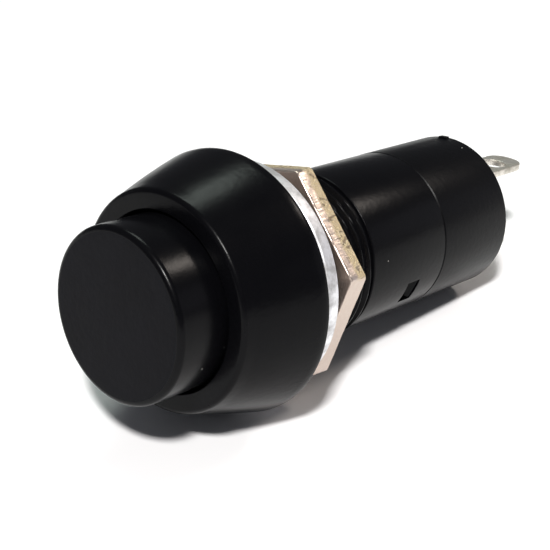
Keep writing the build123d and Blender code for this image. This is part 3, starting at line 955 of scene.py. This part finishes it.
class BUTTON_OT_lugs(bpy.types.Operator):
    """Add the two solder lugs with their feet"""

    bl_idname = "push_button.lugs"
    bl_label = "Solder lugs"

    def execute(self, context):
        finish = tinned_brass()
        for node in ("terminal_upper", "terminal_lower"):
            mesh = self.strip(node)
            mesh.materials.clear()
            mesh.materials.append(finish)
            name = node.replace("terminal", "lug")
            place_on(new_piece(name, mesh), "housing", node)
        return {"FINISHED"}

    def strip(self, node):
        """The stamped strip: a leg that ends in an eye, and a foot bent off it."""
        size = sizes()
        low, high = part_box(node)
        side = math.copysign(1, low.z + high.z)
        inner = min(abs(low.z), abs(high.z))
        outer = max(abs(low.z), abs(high.z))
        tip = high.y
        outline = rounded([
            (low.x, low.y, 0), (high.x, low.y, 0),
            (high.x, tip, size.lug_tip_round), (low.x, tip, size.lug_tip_round),
        ], steps=12)
        eye = circle(0, tip - size.lug_eye_set_in, size.lug_eye)
        leg = plate_mesh("leg", outline, [eye], size.lug_thickness, 0.05 * MM)
        leg.transform(Matrix.Translation((0, 0, side * (inner + size.lug_thickness / 2))))
        foot_outline = [
            (low.x, inner + 0.2 * MM), (high.x, inner + 0.2 * MM), (high.x, outer), (low.x, outer)
        ]
        rivet = circle(0, outer - 0.65 * MM, 0.42 * MM, 24)
        foot = plate_mesh("foot", foot_outline, [rivet], size.lug_thickness, 0.04 * MM)
        foot.transform(Matrix.Rotation(math.pi / 2, 4, "X"))
        foot.transform(Matrix.Translation((0, low.y + size.lug_thickness / 2, 0)))
        if side < 0:
            foot.transform(Matrix.Scale(-1, 4, (0, 0, 1)))
            foot.flip_normals()
        return joined(node, [leg, foot])


class BUTTON_OT_springs(bpy.types.Operator):
    """Add the return spring and the contact spring"""

    bl_idname = "push_button.springs"
    bl_label = "Springs"

    def execute(self, context):
        size = sizes()
        finish = worked_metal(
            "drawn_spring_steel", colours().steel_wire, 0.28, 0.15, (1.0, 1.0, 1.0)
        )
        low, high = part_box("return_spring")
        spring = self.coil("return_coil", low, high, size.return_wire, 5, finish)
        place_on(spring, "housing", "return_spring")
        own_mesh(spring)
        low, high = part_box("contact_spring")
        spring = self.coil("contact_coil", low, high, size.contact_wire, 5, finish)
        place_on(spring, "button", "contact_spring")
        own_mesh(spring)
        return {"FINISHED"}

    def stroke(self, joint_name):
        """How far a sliding joint goes from rest."""
        joint = [j for j in frame["joints"] if j["name"] == joint_name][0]
        return max(abs(value) for value in joint["range_m"])

    def coil(self, name, low, high, wire, turns, finish):
        """A compression spring whose end turns are closed."""
        radius = high.x - wire / 2
        first, last = low.y + wire / 2, high.y - wire / 2
        curve = bpy.data.curves.new(name, "CURVE")
        curve.dimensions = "3D"
        curve.bevel_depth = wire / 2
        curve.bevel_resolution = 4
        curve.use_fill_caps = True
        spline = curve.splines.new("POLY")
        count = 36 * (turns + 2)
        spline.points.add(count)
        for i, point in enumerate(spline.points):
            turn = (turns + 2) * i / count
            angle = FULL_TURN * turn
            open_turns = min(max(turn - 1, 0), turns) / turns
            closed = wire * (min(turn, 1) + min(max(turn - turns - 1, 0), 1))
            y = first + closed + open_turns * (last - first - 2 * wire)
            point.co = (radius * math.cos(angle), y, -radius * math.sin(angle), 1)
        mesh = curve_mesh(curve)
        mesh.materials.clear()
        mesh.materials.append(finish)
        for face in mesh.polygons:
            face.use_smooth = True
        return new_piece(name, mesh)


class BUTTON_OT_inner(bpy.types.Operator):
    """Give the plunger, the bridge, the rivets and the retaining ring their finishes"""

    bl_idname = "push_button.inner"
    bl_label = "Inner pieces"

    def execute(self, context):
        even, rolled = (1.0, 1.0, 1.0), (1.0, 1.0, 0.1)
        brass = worked_metal("rolled_brass", colours().brass, 0.30, 0.2, rolled)
        silver = worked_metal("pressed_silver", colours().silver, 0.26, 0.2, even)
        steel = worked_metal("stamped_steel", colours().steel_wire, 0.34, 0.2, even)
        finishes = {
            "plunger": natural_acetal(),
            "stem_retainer": steel,
            "contact_bridge": brass,
            "bridge_tip_upper": silver,
            "bridge_tip_lower": silver,
            "fixed_contact_upper": silver,
            "fixed_contact_lower": silver,
        }
        for node, finish in finishes.items():
            mesh = frame["nodes"][node].data
            mesh.materials.clear()
            mesh.materials.append(finish)
        return {"FINISHED"}


# ---- stage --------------------------------------------------------------------------------------

class BUTTON_OT_stage(bpy.types.Operator):
    """Add the floor, the lights and the camera"""

    bl_idname = "push_button.stage"
    bl_label = "Floor, lights and camera"

    def execute(self, context):
        scene = context.scene
        scene.view_settings.view_transform = "Standard"
        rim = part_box("front_housing")[1].x
        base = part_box("rear_base")
        rear_y = base[1].y - sizes().base_edge_round
        slope = math.atan2(rim - base[1].x, rear_y)
        lean = Matrix.Rotation(slope, 4, "X")
        up = lean @ Vector((0, 0, 1))
        hair = 0.02 * MM
        contact = Vector((0, -0.5 * sizes().rim_land, -rim)) - up * hair
        self.floor(contact, lean)
        self.lights(contact, lean)
        self.world(scene)
        self.camera(scene)
        return {"FINISHED"}

    def floor(self, contact, lean):
        """A wide flat board under the bezel's rim and the rear base."""
        half = 1.2
        body = bmesh.new()
        bmesh.ops.create_grid(body, x_segments=4, y_segments=4, size=half)
        board = bpy.data.objects.new("floor", mesh_from("floor", body))
        board.data.transform(Matrix.Translation(contact) @ lean)
        bpy.context.scene.collection.objects.link(board)
        board.data.materials.append(pale_floor())

    def lights(self, contact, lean):
        """Soft boxes above the floor: name, place, width, depth, power in watts and tint."""
        aim = Vector((0, 6 * MM, 0))
        for name, place, width, depth, power, tint in (
            ("key", (0.185, -0.239, 0.398), 0.05, 0.05, 3.1, "#fffdfb"),
            ("window", (-0.19, 0.145, 0.44), 0.20, 0.14, 0.70, "#f2fff6"),
            ("back", (0.15, 0.37, 0.35), 0.12, 0.07, 0.55, "#fff4ea"),
            ("wall", (0.45, 0.50, 0.17), 0.60, 0.24, 0.22, "#f6f5ff"),
        ):
            lamp = bpy.data.lights.new(name, "AREA")
            lamp.shape = "RECTANGLE"
            lamp.size, lamp.size_y = width, depth
            lamp.energy = power
            lamp.color = linear(tint)
            holder = bpy.data.objects.new(name, lamp)
            spot = contact + lean @ Vector(place)
            turn = (aim - spot).to_track_quat("-Z", "Y").to_matrix().to_4x4()
            holder.matrix_world = Matrix.Translation(spot) @ turn
            bpy.context.scene.collection.objects.link(holder)

    def world(self, scene):
        """Dim even light from all round."""
        world = bpy.data.worlds.new("room")
        world.use_nodes = True
        shade = world.node_tree.nodes["Background"]
        shade.inputs["Color"].default_value = (*linear("#e9ecf5"), 1)
        shade.inputs["Strength"].default_value = 0.13
        scene.world = world

    def camera(self, scene):
        """A long lens, above and in front of the cap, to its right."""
        place = Vector((56.95, -61.83, 34.75)) * MM
        ahead = Vector((-0.60187, 0.70487, -0.37538)).normalized()
        up = Vector((-0.31069, 0.22634, 0.92317))
        right = ahead.cross(up).normalized()
        up = right.cross(ahead)
        lens = bpy.data.cameras.new("camera")
        lens.lens = 88.86
        lens.sensor_width = 36.0
        lens.clip_start = 1 * MM
        lens.clip_end = 10
        holder = bpy.data.objects.new("camera", lens)
        turn = Matrix((right, up, -ahead)).transposed().to_4x4()
        holder.matrix_world = Matrix.Translation(place) @ turn
        bpy.context.scene.collection.objects.link(holder)
        scene.camera = holder


class BUTTON_PT_panel(bpy.types.Panel):
    """Lists the pieces of the push button"""

    bl_idname = "BUTTON_PT_panel"
    bl_label = "Push Button"
    bl_space_type = "VIEW_3D"
    bl_region_type = "UI"
    bl_category = "Push Button"

    def draw(self, context):
        for operator in OPERATORS:
            self.layout.operator(operator.bl_idname)


OPERATORS = (
    BUTTON_OT_housing,
    BUTTON_OT_cap,
    BUTTON_OT_base,
    BUTTON_OT_washer,
    BUTTON_OT_nut,
    BUTTON_OT_lugs,
    BUTTON_OT_springs,
    BUTTON_OT_inner,
    BUTTON_OT_stage,
)
CLASSES = (ButtonSizes, ButtonColours, *OPERATORS, BUTTON_PT_panel)


def register():
    for item in CLASSES:
        bpy.utils.register_class(item)
    bpy.types.Scene.button_sizes = bpy.props.PointerProperty(type=ButtonSizes)
    bpy.types.Scene.button_colours = bpy.props.PointerProperty(type=ButtonColours)


def unregister():
    del bpy.types.Scene.button_colours
    del bpy.types.Scene.button_sizes
    for item in reversed(CLASSES):
        bpy.utils.unregister_class(item)


def main():
    register()
    bpy.ops.push_button.housing()
    bpy.ops.push_button.cap()
    bpy.ops.push_button.base()
    bpy.ops.push_button.washer()
    bpy.ops.push_button.nut()
    bpy.ops.push_button.lugs()
    bpy.ops.push_button.springs()
    bpy.ops.push_button.inner()
    bpy.ops.push_button.stage()


if __name__ == "__main__":
    main()
